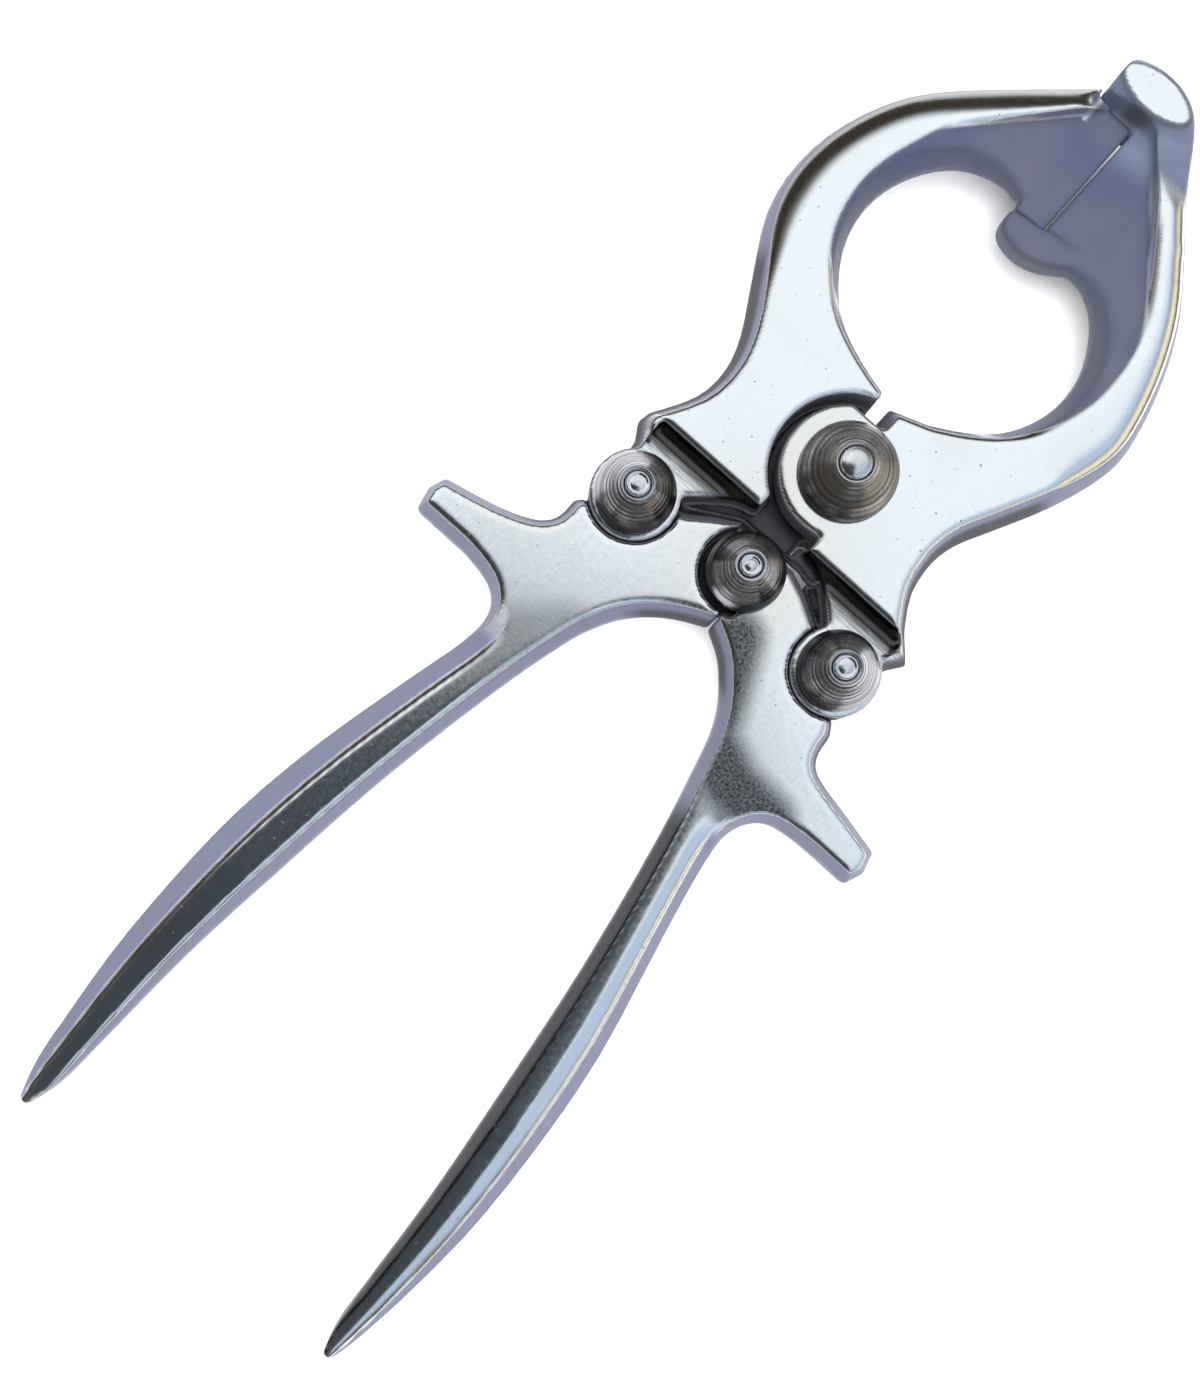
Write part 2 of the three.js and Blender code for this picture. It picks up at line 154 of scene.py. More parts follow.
def grip_sides(tool):
    """The grip's least and greatest x at each vertex's y, from the mesh itself."""
    step = 1.0
    bins = np.arange(-156, -46, step)
    low, high = [], []
    for y in bins:
        near = np.abs(tool[:, 1] - y) < step
        inside = tool[near, 0]
        low.append(inside.min() if len(inside) else np.nan)
        high.append(inside.max() if len(inside) else np.nan)
    low, high = np.array(low), np.array(high)
    known = ~np.isnan(low)
    return (np.interp(tool[:, 1], bins[known], low[known]),
            np.interp(tool[:, 1], bins[known], high[known]))


# Parts of a grip's width: where its outer slope ends and its facet starts, and the facet's fall.
GRIP = {
    "left_handle": {"outer": -1, "slope": 0.42, "ridge": 0.79, "tilt": 0.30},
    "right_handle": {"outer": 1, "slope": 0.32, "ridge": 0.50, "tilt": 0.30},
}
# The x of the jaws' meeting edges, and the side to which each web thickens from there.
SEAM = {"left_jaw": (-2.4, -1), "right_jaw": (-2.1, 1)}
# The right handle's lap face: its reach from the pin, its height, and how high it is cleared.
LAP = {"radius": 7.4, "height": -0.15, "top": 0.5}
EDGE_HALF = 0.8
WEB_SLOPE = 0.19
JAW_HALF = 5.5
HANDLE_HALF = 4.6
LEAST_HALF = 0.25
RING_MIDDLE = (-3.5, 36)
NOSE = {"x": -3.2, "y": 72.2, "long": 6.0, "short": 2.7, "height": 5.05}


def handle_height(y):
    """Half the thickness of a handle, which tapers along the grip."""
    return HANDLE_HALF - 2.6 * np.clip((-104 - y) / 56, 0, 1)


def pressed(tool, limit):
    """Keeps both faces within a height over the middle plane."""
    height = np.abs(tool[:, 2])
    tool[:, 2] = np.sign(tool[:, 2]) * np.minimum(height, np.maximum(limit, LEAST_HALF))
    return tool


def grip_place(name, tool):
    """Each vertex's place across its grip from low x (0 to 1), from the outer side, and the width."""
    low, high = grip_sides(tool)
    width = np.maximum(high - low, 0.5)
    across = (tool[:, 0] - low) / width
    return across, across if GRIP[name]["outer"] < 0 else 1 - across, width


def carve_grip(name, tool):
    """Cuts a grip's long facets: a wide outer slope, a flat top and a facet towards +x."""
    grip = GRIP[name]
    across, from_outer, width = grip_place(name, tool)
    flat = handle_height(tool[:, 1])
    slope = 0.5 + (flat - 0.5) * from_outer / grip["slope"]
    facet = flat - grip["tilt"] * width * np.clip(across - grip["ridge"], 0, None)
    limit = np.minimum(np.minimum(slope, facet), flat)
    return pressed(tool, flat + smoothstep(-49, -57, tool[:, 1]) * (limit - flat))


def lower_lap(tool):
    """Lowers the right handle's eye where it laps the jaw's, so the two keep clear."""
    x, y, z = tool.T
    eye = np.hypot(x - PIVOT["right"].x / MM, y - PIVOT["right"].y / MM) < LAP["radius"]
    tool[eye & (z > LAP["height"]) & (z < LAP["top"]), 2] = LAP["height"]
    return tool


def grip_slope(name, tool):
    """Where a grip's outer slope is: as satin as the drafted sides, with their painted reflection."""
    _, from_outer, _ = grip_place(name, tool)
    end = GRIP[name]["slope"]
    return smoothstep(end - 0.03, end - 0.09, from_outer) * smoothstep(-47, -54, tool[:, 1])


def distance_to_outer_side(tool, normal):
    """How far each vertex of a jaw is, seen from the front, from the ring's outer side."""
    x, y, z = tool.T
    from_x, from_y = x - RING_MIDDLE[0], y - RING_MIDDLE[1]
    away = np.hypot(from_x, from_y)
    outward = (from_x * normal[:, 0] + from_y * normal[:, 1]) / away
    ring = (y > 22) & (away > 26) & ((np.abs(x) > 17) | (y > 60)) & (outward > 0.35)
    ring &= np.sign(x) * normal[:, 0] > -0.1
    shank = (y > -11) & (y <= 22) & (np.abs(x) > 17) & (np.sign(x) * normal[:, 0] > 0.45)
    outer = (ring | shank) & (np.abs(z) < 0.8) & (np.abs(normal[:, 2]) < 0.4)
    points = tool[outer]
    tree = KDTree(len(points))
    for i, (px, py, _) in enumerate(points):
        tree.insert((px, py, 0), i)
    tree.balance()
    return np.array([tree.find((px, py, 0))[2] for px, py, _ in tool])


def rolled_width(name, y):
    """How wide a jaw's outer edge is rolled: widest on the left rim, least beside the pivots."""
    if name == "left_jaw":
        return (0.1 + 2.9 * smoothstep(-11, -6, y) + 4.2 * smoothstep(10, 30, y)
                + 2.0 * smoothstep(46, 60, y))
    return 0.6 + 3.8 * smoothstep(8, 26, y)


def roll_edge(tool, distance, width):
    """Rounds a face down to the side over this width."""
    near = 1 - np.clip(distance / width, 0, 1)
    least = 2.2 * smoothstep(60, 64, tool[:, 1])
    return pressed(tool, np.maximum(JAW_HALF * np.sqrt(1 - near ** 2), least))


def beyond_facet(x, y):
    """How far outside the nose's oval facet a place is."""
    dx, dy = x - NOSE["x"], y - NOSE["y"]
    oval = np.maximum(np.hypot(dx / NOSE["long"], dy / NOSE["short"]), 1e-6)
    return np.hypot(dx, dy) * np.clip(1 - 1 / oval, 0, None)


def carve_nose(tool):
    """The nose: an oval facet on a rounded body, with a shoulder down from the ring."""
    x, y, _ = tool.T
    dome = NOSE["height"] - 0.75 * beyond_facet(x, y) ** 1.25
    shoulder = JAW_HALF - 0.30 * np.clip(y - 61, 0, None)
    return pressed(tool, np.maximum(dome, shoulder))


def to_path(x, y, path):
    """Distance from each place to a path of straight stretches."""
    best = np.full(len(x), 1e9)
    for (ax, ay), (bx, by) in zip(path, path[1:]):
        dx, dy = bx - ax, by - ay
        t = np.clip(((x - ax) * dx + (y - ay) * dy) / (dx * dx + dy * dy), 0, 1)
        best = np.minimum(best, np.hypot(x - ax - t * dx, y - ay - t * dy))
    return best


# Painted dark reflections where a handle's face dips as it narrows: a path along each, and how
# strongly it is darkened.
DIP = {
    "left_handle": [(-15, -45), (-20, -50), (-23, -56)],
    "right_handle": [(4, -29), (7.5, -36), (10.5, -42.5), (18, -45.6), (25, -46)],
}
DIP_STRENGTH = {"left_handle": 0.4, "right_handle": 1.0}
# The masks that not every lever has.
OWN_MASKS = ("web", "tail", "nose", "outline", "boss", "slope", "dip_reflection", "inner_shade")


def web_mask(name, tool, depth, distance):
    """A jaw's drafted web, its hook and, on the left jaw, the tip."""
    x, y, z = tool.T
    seam, side = SEAM[name]
    plane = EDGE_HALF + WEB_SLOPE * side * (x - seam)
    web = smoothstep(0.75, 0.4, np.abs(z) - plane) * smoothstep(0.05, 0.25, depth)
    rim = 6.4 - 3.2 * smoothstep(44, 62, y) if name == "left_jaw" else 4.0
    web *= smoothstep(0, 0.9, distance - rim) * smoothstep(17, 20, y)
    if name == "left_jaw":
        near_tip = smoothstep(58, 60, y) * smoothstep(-9.5, -8.3, x)
        web = np.maximum(web, near_tip * smoothstep(4.9, 4.0, np.abs(z)))
    hook = smoothstep(1.0, 1.6, depth) * smoothstep(38, 41, y)
    return np.maximum(web, hook * smoothstep(5.5, 6.5, distance))


def jaw_masks(name, tool, up, depth, distance):
    """The masks that only a jaw has."""
    x, y, z = tool.T
    masks = {"web": web_mask(name, tool, depth, distance)}
    masks["tail"] = smoothstep(0.05, 0.4, depth) * (z > 2.5) * smoothstep(-11.8, -12.2, y)
    if name == "right_jaw":
        beyond = beyond_facet(x, y)
        on_nose = smoothstep(61, 66, y)
        # Where the nose's body gets painted light: its steep parts and the body outside the facet.
        nose = on_nose * np.maximum(smoothstep(0.99, 0.95, up), smoothstep(0.2, 0.6, beyond))
        masks["nose"] = nose
        masks["web"] = np.maximum(masks["web"], nose)
        # Painted shade: a dark line just outside the nose's facet, where its edge turns down.
        masks["outline"] = on_nose * smoothstep(0.0, 0.2, beyond) * smoothstep(0.9, 0.5, beyond)
        masks["boss"] = (smoothstep(10.6, 10.0, np.hypot(x, y)) * smoothstep(-2.5, -5.5, x)
                         * smoothstep(0.9, 0.98, up))
    return masks


def handle_masks(name, tool, normal, up):
    """The masks that only a handle has."""
    x, y, _ = tool.T
    masks = {"slope": grip_slope(name, tool)}
    # Painted dark reflection along each handle's dip.
    masks["dip_reflection"] = (DIP_STRENGTH[name] * smoothstep(6.5, 2.0, to_path(x, y, DIP[name]))
                    * smoothstep(0.9, 0.98, up))
    if name == "right_handle":
        # Painted shade on the grip's side that faces the other handle.
        masks["inner_shade"] = (smoothstep(0.97, 0.86, up) * smoothstep(0.0, -0.3, normal[:, 0])
                          * smoothstep(-50, -56, y))
    return masks


def recess_shade_mask(name, tool, depth):
    """Where shade is painted: the low floors round the pivots, and the jaws' floor beside the link
    pin.
    """
    x, y, z = tool.T
    floor = smoothstep(1.2, 2.6, depth) * smoothstep(19, 15, y) * smoothstep(-38, -34, y)
    if "jaw" in name:
        by_link = np.hypot(x - 4, y + 13.5) < 5
        floor = np.maximum(floor, smoothstep(2.9, 2.6, z) * by_link)
    return floor * (depth > 0.6)


def painted_shade_mask(tool, normal, smoother, wall):
    """Painted shade in the inner corners near the pivots, and on the walls of the gaps between the
    levers.
    """
    x, y, _ = tool.T
    inward = ((smoother.smooth_points(tool, 14) - tool) * normal).sum(1)
    corner = smoothstep(0.03, 0.20, inward) * smoothstep(20, 15, y)
    by_link = smoothstep(17, 14, np.hypot(x + 1, 1.25 * (y + 16)))
    by_main = smoothstep(15, 13.5, np.hypot(x, y)) * smoothstep(12, 9, y)
    return np.maximum(corner, wall * np.maximum(by_link, by_main))


def lever_masks(name, tool, normal, smoother, distance):
    """How far each place on a lever has each finish and each painted shade or reflection, from 0 to
    1.
    """
    x, y, z = tool.T
    up = np.abs(normal[:, 2])
    jaw = "jaw" in name
    depth = (JAW_HALF if jaw else handle_height(y)) - np.abs(z)
    own = {mask: 0 * x for mask in OWN_MASKS}
    own.update(jaw_masks(name, tool, up, depth, distance) if jaw
               else handle_masks(name, tool, normal, up))
    # Walls are found by how steeply they face; their colour holds a painted reflection of a
    # lavender-grey surround.
    wall = smoothstep(0.78, 0.60, up)
    # Painted dark reflection on the rounded edges, found by how steeply they face and, below, by
    # facing away from +x.
    edge_reflection = smoothstep(0.55, 0.72, up) * smoothstep(0.985, 0.92, up) * (1 - own["web"])
    if name == "right_jaw":
        edge_reflection *= smoothstep(60, 56, y)
    # Painted shade in the cove where a jaw's tail is cut down.
    cove_shade = own["tail"] * smoothstep(-17.2, -14.2, y)
    # Painted shade in inner corners and on the gap walls near the pivots.
    painted_shade = painted_shade_mask(tool, normal, smoother, wall)
    return {
        "wall": np.maximum(wall, own["slope"]) * (1 - own["web"]) * (1 - cove_shade),
        "web": own["web"],
        "edge_reflection": edge_reflection * smoothstep(0.25, -0.1, normal[:, 0]) * (1 - own["slope"]),
        "recess_shade": recess_shade_mask(name, tool, depth),
        "painted_shade": np.maximum(painted_shade, own["outline"]),
        "dip_reflection": own["dip_reflection"],
        "cove_shade": cove_shade,
        "streak": own["tail"] * smoothstep(-19.0, -14.5, y),
        "nose": own["nose"],
        "inner_shade": own["inner_shade"],
        "worn": np.exp(-(np.hypot(x + 1, y + 17) / 15) ** 2),
        "boss": own["boss"],
    }


def store(mesh, name, values):
    """Keeps a mask on the mesh, where its material reads it."""
    attribute = mesh.attributes.new(name, "FLOAT", "POINT")
    attribute.data.foreach_set("value", np.clip(values, 0, 1).astype(np.float32))


def rim_weight(name, tool):
    """Where a jaw's forging is softest: the nose, and the corner between each web and its rim."""
    x, y, z = tool.T
    away = smoothstep(0.9, 1.8, np.abs(z))
    if name == "right_jaw":
        away *= np.maximum(smoothstep(66, 62, y), smoothstep(0.2, 1.0, beyond_facet(x, y)))
    return 0.7 * away * smoothstep(19, 24, y)


def shape_jaw(name, tool, normal, smoother):
    """A jaw's tool positions with its outer edge rolled, and their distance to its outer side."""
    distance = distance_to_outer_side(tool, normal)
    tool = roll_edge(tool, distance, rolled_width(name, tool[:, 1]))
    if name == "right_jaw":
        tool = carve_nose(tool)
    return smoother.smooth_points(tool, 24, 0.6 * rim_weight(name, tool)), distance


def shape_handle(name, tool, smoother):
    """A handle's tool positions with its grip's facets cut."""
    tool = carve_grip(name, tool)
    grip = smoothstep(-48, -54, tool[:, 1])
    tool = smoother.smooth_points(tool, 3, 0.5 * grip)
    return lower_lap(tool) if name == "right_handle" else tool


def dress(piece, finish, body, node):
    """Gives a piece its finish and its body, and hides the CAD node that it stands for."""
    piece.data.shade_smooth()
    piece.data.materials.append(finish)
    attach(piece, body)
    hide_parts(node)


def lever(name, body, finish):
    """A forged lever: the CAD solid's even mesh, shaped and masked."""
    piece = remeshed(name)
    mesh = piece.data
    centre = np.array([0, 0, MID_Z])
    smoother = Smoother(mesh)
    tool = smoother.smooth_points((coordinates(mesh) - centre) / MM, 3, 0.5)
    distance = None
    if "jaw" in name:
        tool, distance = shape_jaw(name, tool, normals(mesh), smoother)
    else:
        tool = shape_handle(name, tool, smoother)
    set_coordinates(mesh, tool * MM + centre)
    for mask, values in lever_masks(name, tool, normals(mesh), smoother, distance).items():
        store(mesh, mask, values)
    dress(piece, finish, body, name)


# ---- Pins and collars ----
def ring(made, radius, height, hammered):
    """The vertices at one point of a profile: a circle, or a single one on the axis."""
    if radius < 1e-6:
        return [made.verts.new((0, 0, height * MM))]
    circle = []
    for i in range(TURNED_SIDES):
        turn = 2 * math.pi * i / TURNED_SIDES
        wave = math.sin(5 * turn + 3 * radius) * math.sin(2.4 * radius + turn)
        dent = -math.copysign(hammered * abs(wave), height)
        circle.append(made.verts.new((radius * MM * math.cos(turn), radius * MM * math.sin(turn),
                                      (height + dent) * MM)))
    return circle


def skin(made, lower, upper):
    """The faces between two rings, where one may be a vertex on the axis."""
    if len(lower) == 1 and len(upper) == 1:
        return
    for i in range(TURNED_SIDES):
        j = (i + 1) % TURNED_SIDES
        if len(lower) == 1:
            made.faces.new((lower[0], upper[j], upper[i]))
        elif len(upper) == 1:
            made.faces.new((lower[i], lower[j], upper[0]))
        else:
            made.faces.new((lower[i], lower[j], upper[j], upper[i]))


def turned(name, profile, place, flip=False, hammered=0.0):
    """A closed body turned from a profile of (radius, height) in millimetres."""
    made = bmesh.new()
    rings = [ring(made, radius, height, hammered) for radius, height in profile]
    for lower, upper in zip(rings, rings[1:] + rings[:1]):
        skin(made, lower, upper)
    bmesh.ops.recalc_face_normals(made, faces=made.faces)
    mesh = bpy.data.meshes.new(name)
    made.to_mesh(mesh)
    made.free()
    piece = bpy.data.objects.new(name, mesh)
    bpy.context.scene.collection.objects.link(piece)
    piece.location = place
    if flip:
        piece.rotation_euler = (math.pi, 0, 0)
    return piece


def collar_profile(node, pin_radius):
    """A cone with turned rings, in the size of its CAD node."""
    low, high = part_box(node)
    base = (high.x - low.x) / 2 / MM
    height = (high.z - low.z) / MM
    bore = pin_radius + 0.12
    top = bore + 0.75
    points = [(bore, 0.0), (base - 0.25, 0.0), (base, 0.25), (base, 0.55)]
    steps = 44
    for i in range(1, steps):
        t = i / steps
        radius = base + (top - base) * t
        rise = 0.62 + (height - 1.0) * (t ** 0.64)
        ripple = 0.014 * math.sin(2 * math.pi * 7 * t) + 0.008 * math.sin(2 * math.pi * 16 * t)
        points.append((radius, rise + ripple))
    points += [(top - 0.1, height - 0.12), (top - 0.3, height), (bore + 0.15, height),
               (bore, height - 0.15)]
    return points


def collar(name, node, body, pin_radius, finish):
    """A turned cone with its foot on the lever."""
    low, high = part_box(node)
    front = "front" in node
    place = Vector(((low.x + high.x) / 2, (low.y + high.y) / 2, low.z if front else high.z))
    piece = turned(name, collar_profile(node, pin_radius), place, flip=not front)
    dress(piece, finish, body, node)


def pin_profile(half, radii, peened):
    """A shouldered pin with a dimple in each end where it is peened."""
    shank, tail, shoulder = radii
    end = [(tail, half - 0.5), (tail - 0.12, half - 0.18), (tail - 0.3, half)]
    if peened:
        end += [(tail - 0.45, half - 0.02), (tail - 0.62, half - 0.12),
                (tail - 0.85, half - 0.14), (0.45 * tail, half - 0.02), (0.2 * tail, half - 0.05)]
    upper = [(shank, shoulder), (tail, shoulder + 0.02)] + end + [(0.0, half - 0.01)]
    return [(radius, -height) for radius, height in reversed(upper)] + upper


def pin(name, node, body, radii, finish):
    """A shouldered pin in the length of its CAD node. The main one's ends are flat."""
    low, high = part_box(node)
    peened = node != "main_pin"
    profile = pin_profile((high.z - low.z) / 2 / MM, radii, peened)
    piece = turned(name, profile, middle(node), hammered=PEEN_DENT if peened else 0.0)
    dress(piece, finish, body, node)


# ---- Node helpers ----
class Nodes:
    """Adds nodes to a tree a line at a time."""

    def __init__(self, tree):
        self.tree = tree
        self.tree.nodes.clear()

    def put(self, value, socket):
        if isinstance(value, bpy.types.NodeSocket):
            self.tree.links.new(value, socket)
        else:
            socket.default_value = value

    def attribute(self, name):
        node = self.tree.nodes.new("ShaderNodeAttribute")
        node.attribute_name = name
        return node.outputs["Fac"]

    def stretched(self, scale, turn=0.0):
        node = self.tree.nodes.new("ShaderNodeMapping")
        self.put(self.place, node.inputs["Vector"])
        node.inputs["Rotation"].default_value = (0, 0, turn)
        node.inputs["Scale"].default_value = scale
        return node.outputs[0]

    def noise(self, vector, scale, detail=3.0):
        node = self.tree.nodes.new("ShaderNodeTexNoise")
        self.put(vector, node.inputs["Vector"])
        node.inputs["Scale"].default_value = scale
        node.inputs["Detail"].default_value = detail
        return node.outputs[0]

    def math(self, operation, first, second=0.0, clamp=False):
        node = self.tree.nodes.new("ShaderNodeMath")
        node.operation = operation
        node.use_clamp = clamp
        self.put(first, node.inputs[0])
        self.put(second, node.inputs[1])
        return node.outputs[0]

    def times(self, first, second):
        return self.math("MULTIPLY", first, second)

    def ramp(self, value, start, gain):
        return self.math("MULTIPLY", self.math("SUBTRACT", value, start), gain, clamp=True)

    def parts(self, vector):
        node = self.tree.nodes.new("ShaderNodeSeparateXYZ")
        self.put(vector, node.inputs[0])
        return node.outputs

    def span(self, value, low, high, to_low=0.0, to_high=1.0):
        node = self.tree.nodes.new("ShaderNodeMapRange")
        self.put(value, node.inputs["Value"])
        for socket, number in zip(("From Min", "From Max", "To Min", "To Max"),
                                  (low, high, to_low, to_high)):
            node.inputs[socket].default_value = number
        return node.outputs[0]

    def blend(self, amount, first, second):
        node = self.tree.nodes.new("ShaderNodeMix")
        node.data_type = "RGBA"
        self.put(amount, node.inputs[0])
        for value, socket in ((first, node.inputs[6]), (second, node.inputs[7])):
            self.put((*value, 1) if isinstance(value, tuple) else value, socket)
        return node.outputs[2]

    def bump(self, height, distance, below=None):
        node = self.tree.nodes.new("ShaderNodeBump")
        node.inputs["Strength"].default_value = 1.0
        node.inputs["Distance"].default_value = distance
        self.put(height, node.inputs["Height"])
        if below is not None:
            self.put(below, node.inputs["Normal"])
        return node.outputs[0]


class Metal(Nodes):
    """A metal's node tree, with its shader and the piece's own coordinates."""

    def __init__(self, name):
        self.material = bpy.data.materials.new(name)
        self.material.use_nodes = True
        super().__init__(self.material.node_tree)
        self.shader = self.tree.nodes.new("ShaderNodeBsdfPrincipled")
        self.shader.inputs["Metallic"].default_value = 1.0
        output = self.tree.nodes.new("ShaderNodeOutputMaterial")
        self.put(self.shader.outputs[0], output.inputs["Surface"])
        self.place = self.tree.nodes.new("ShaderNodeTexCoord").outputs["Object"]


# ---- Materials ----
GROUND = (0.86, 0.91, 0.955)
WORN = (0.80, 0.78, 0.72)
# Drafted walls: partly the satin forging skin's own colour, partly a painted reflection of a
# lavender-grey surround.
DRAFT_SKIN_AND_REFLECTION = (0.125, 0.134, 0.200)
DRAFT_WARM_SKIN_AND_REFLECTION = (0.122, 0.122, 0.165)
# Webs: partly the satin forging skin's own colour, partly a painted reflection of a lavender-grey
# surround.
WEB_SKIN_AND_REFLECTION = (0.060, 0.070, 0.122)
WEB_GREY_SKIN_AND_REFLECTION = (0.080, 0.084, 0.110)
# Nose: satin skin, painted lighter than the web to offset the shade on its steep body, with a painted
# reflection of a lavender-grey surround.
NOSE_SATIN_AND_LIGHT = (0.110, 0.130, 0.190)
# Painted dark reflection: the brown band on rounded edges that turn away from +x.
ROLLED_EDGE_REFLECTION = (0.155, 0.138, 0.118)
# Dark grime for the pits and scratches; also painted shade in the recesses, creases and gaps.
GRIME_AND_SHADE = (0.062, 0.062, 0.070)
# Painted shade on the right grip's inner side.
INNER_SIDE_SHADE = (0.018, 0.018, 0.023)
# Painted dark reflection in the handles' dips.
DIP_REFLECTION = (0.055, 0.056, 0.065)
# Painted shade in the tails' coves.
COVE_SHADE = (0.075, 0.075, 0.08)
STAIN = (0.42, 0.36, 0.27)


def forged_face(n, cloud, pits):
    """The ground faces: warmer where worn, a painted dark reflection in the dips, streaked, and
    painted shade in the coves.
    """
    worn = n.times(n.attribute("worn"), 0.75)
    face = n.blend(n.math("MAXIMUM", n.span(cloud, 0.42, 0.75, 0.0, 0.35), worn), GROUND, WORN)
    face = n.blend(n.times(n.attribute("boss"), 0.55), face, WORN)
    # Painted dark reflection in the dips, speckled.
    speckle = n.span(n.noise(n.place, 2600, 2), 0.35, 0.65, 1.0, 0.72)
    face = n.blend(n.times(n.attribute("dip_reflection"), speckle), face, DIP_REFLECTION)
    scratches = n.span(n.noise(n.stretched((260, 3600, 600)), 1.0, 3), 0.42, 0.60)
    lines = n.times(n.attribute("streak"), scratches)
    face = n.blend(n.times(lines, 0.75), face, GRIME_AND_SHADE)
    # Painted shade in the coves.
    face = n.blend(n.times(n.attribute("cove_shade"), 0.94), face, COVE_SHADE)
    return n.blend(n.times(pits, 0.6), face, GRIME_AND_SHADE)


def forged_colour(n, cloud, pits):
    """Faces; drafted walls, webs, nose and rolled edges with painted reflections; painted shade in
    recesses.
    """
    # Sides and webs: satin skin tones that hold a painted reflection of a lavender-grey surround.
    side = n.blend(n.span(cloud, 0.3, 0.7, 0.0, 0.5), DRAFT_SKIN_AND_REFLECTION, DRAFT_WARM_SKIN_AND_REFLECTION)
    web = n.blend(n.span(cloud, 0.35, 0.65), WEB_SKIN_AND_REFLECTION, WEB_GREY_SKIN_AND_REFLECTION)
    colour = n.blend(n.attribute("wall"), forged_face(n, cloud, pits), side)
    colour = n.blend(n.attribute("web"), colour, web)
    # Painted light: the nose's steep body is lightened to offset its shade.
    colour = n.blend(n.attribute("nose"), colour, NOSE_SATIN_AND_LIGHT)
    # Painted dark reflection on the rolled edges.
    colour = n.blend(n.times(n.attribute("edge_reflection"), 0.85), colour, ROLLED_EDGE_REFLECTION)
    # Painted shade on the grip's inner side.
    colour = n.blend(n.attribute("inner_shade"), colour, INNER_SIDE_SHADE)
    # Painted shade in the recesses, the inner corners, the gap walls and round the nose's facet.
    shade_amount = n.math("MAXIMUM", n.times(n.attribute("recess_shade"), 0.93),
                   n.times(n.attribute("painted_shade"), 0.75))
    return n.blend(shade_amount, colour, GRIME_AND_SHADE)


def forged_relief(n, grain, pits):
    """Grinding strokes, a fine grain that is coarser in the dips, and a few pits."""
    strokes = n.noise(n.stretched((2400, 190, 600), 0.45), 1.0, 3)
    normal = n.bump(strokes, 0.000006)
    coarse = n.span(n.attribute("dip_reflection"), 0, 1, 0.25, 0.5)
    normal = n.bump(n.times(grain, coarse), 0.000012, normal)
    return n.bump(n.math("SUBTRACT", 1.0, pits), 0.00002, normal)


def forged_steel():
    """Polished metal faces, and satin walls and webs that are lit more than they reflect."""
    n = Metal("forged_steel")
    cloud = n.noise(n.place, 90, 4)
    grain = n.noise(n.place, 1300, 3)
    pits = n.span(n.noise(n.place, 1500, 2), 0.72, 0.78)
    satin = n.math("MAXIMUM", n.attribute("wall"), n.attribute("web"))
    rough = n.math("ADD", n.span(grain, 0.3, 0.7, 0.13, 0.20), n.times(satin, 0.26))
    rough = n.math("ADD", rough, n.times(n.attribute("dip_reflection"), 0.20))
    rough = n.math("ADD", rough, n.times(n.attribute("recess_shade"), 0.3))
    n.put(forged_colour(n, cloud, pits), n.shader.inputs["Base Color"])
    n.put(n.math("SUBTRACT", 1.0, n.times(satin, 0.88)), n.shader.inputs["Metallic"])
    n.put(n.span(satin, 0, 1, 0.5, 0.15), n.shader.inputs["Specular IOR Level"])
    n.put(rough, n.shader.inputs["Roughness"])
    n.put(forged_relief(n, grain, pits), n.shader.inputs["Normal"])
    return n.material


def turned_material(name, colour, dark, ring_scale, rough, foot):
    """Steel with fine rings about the piece's own axis, and painted shade towards the foot of a cone.
    """
    n = Metal(name)
    x, y, _ = n.parts(n.place)
    radius = n.math("SQRT", n.math("ADD", n.times(x, x), n.times(y, y)))
    rings = n.tree.nodes.new("ShaderNodeTexNoise")
    rings.noise_dimensions = "1D"
    n.put(radius, rings.inputs["W"])
    rings.inputs["Scale"].default_value = ring_scale
    rings.inputs["Detail"].default_value = 3
    cloud = n.noise(n.place, 300, 4)
    tone = n.blend(n.times(n.span(rings.outputs[0], 0.38, 0.66), 0.75), colour, dark)
    tone = n.blend(n.span(cloud, 0.45, 0.75, 0.0, 0.32), tone, STAIN)
    # Painted shade towards the foot of a cone.
    tone = n.blend(n.span(radius, 0.0030, 0.0052, 0.0, foot), tone, dark)
    n.put(tone, n.shader.inputs["Base Color"])
    n.put(n.span(cloud, 0.3, 0.7, rough - 0.05, rough + 0.08), n.shader.inputs["Roughness"])
    normal = n.bump(rings.outputs[0], 0.00006)
    n.put(n.bump(n.noise(n.place, 2200, 3), 0.000008, normal), n.shader.inputs["Normal"])
    return n.material


# ---- Stage ----
FLOOR_SIZE = 2.4
PAPER = (0.93, 0.93, 0.94, 1)
SKY_WHITE = (0.99, 1.02, 1.04)
SKY_BLUE = (0.52, 0.62, 0.76)
SHADE_WARM = (0.125, 0.115, 0.100)
SHADE_COOL = (0.048, 0.056, 0.066)
GLINT = (1.05, 0.90, 0.62)


def floor():
    """A pale paper floor."""
    bpy.ops.mesh.primitive_plane_add(size=FLOOR_SIZE, location=(0, 0, 0))
    sheet = bpy.context.object
    sheet.name = "floor"
    paper = bpy.data.materials.new("paper")
    paper.use_nodes = True
    shader = paper.node_tree.nodes["Principled BSDF"]
    shader.inputs["Base Color"].default_value = PAPER
    shader.inputs["Roughness"].default_value = 0.9
    shader.inputs["Specular IOR Level"].default_value = 0.0
    sheet.data.materials.append(paper)


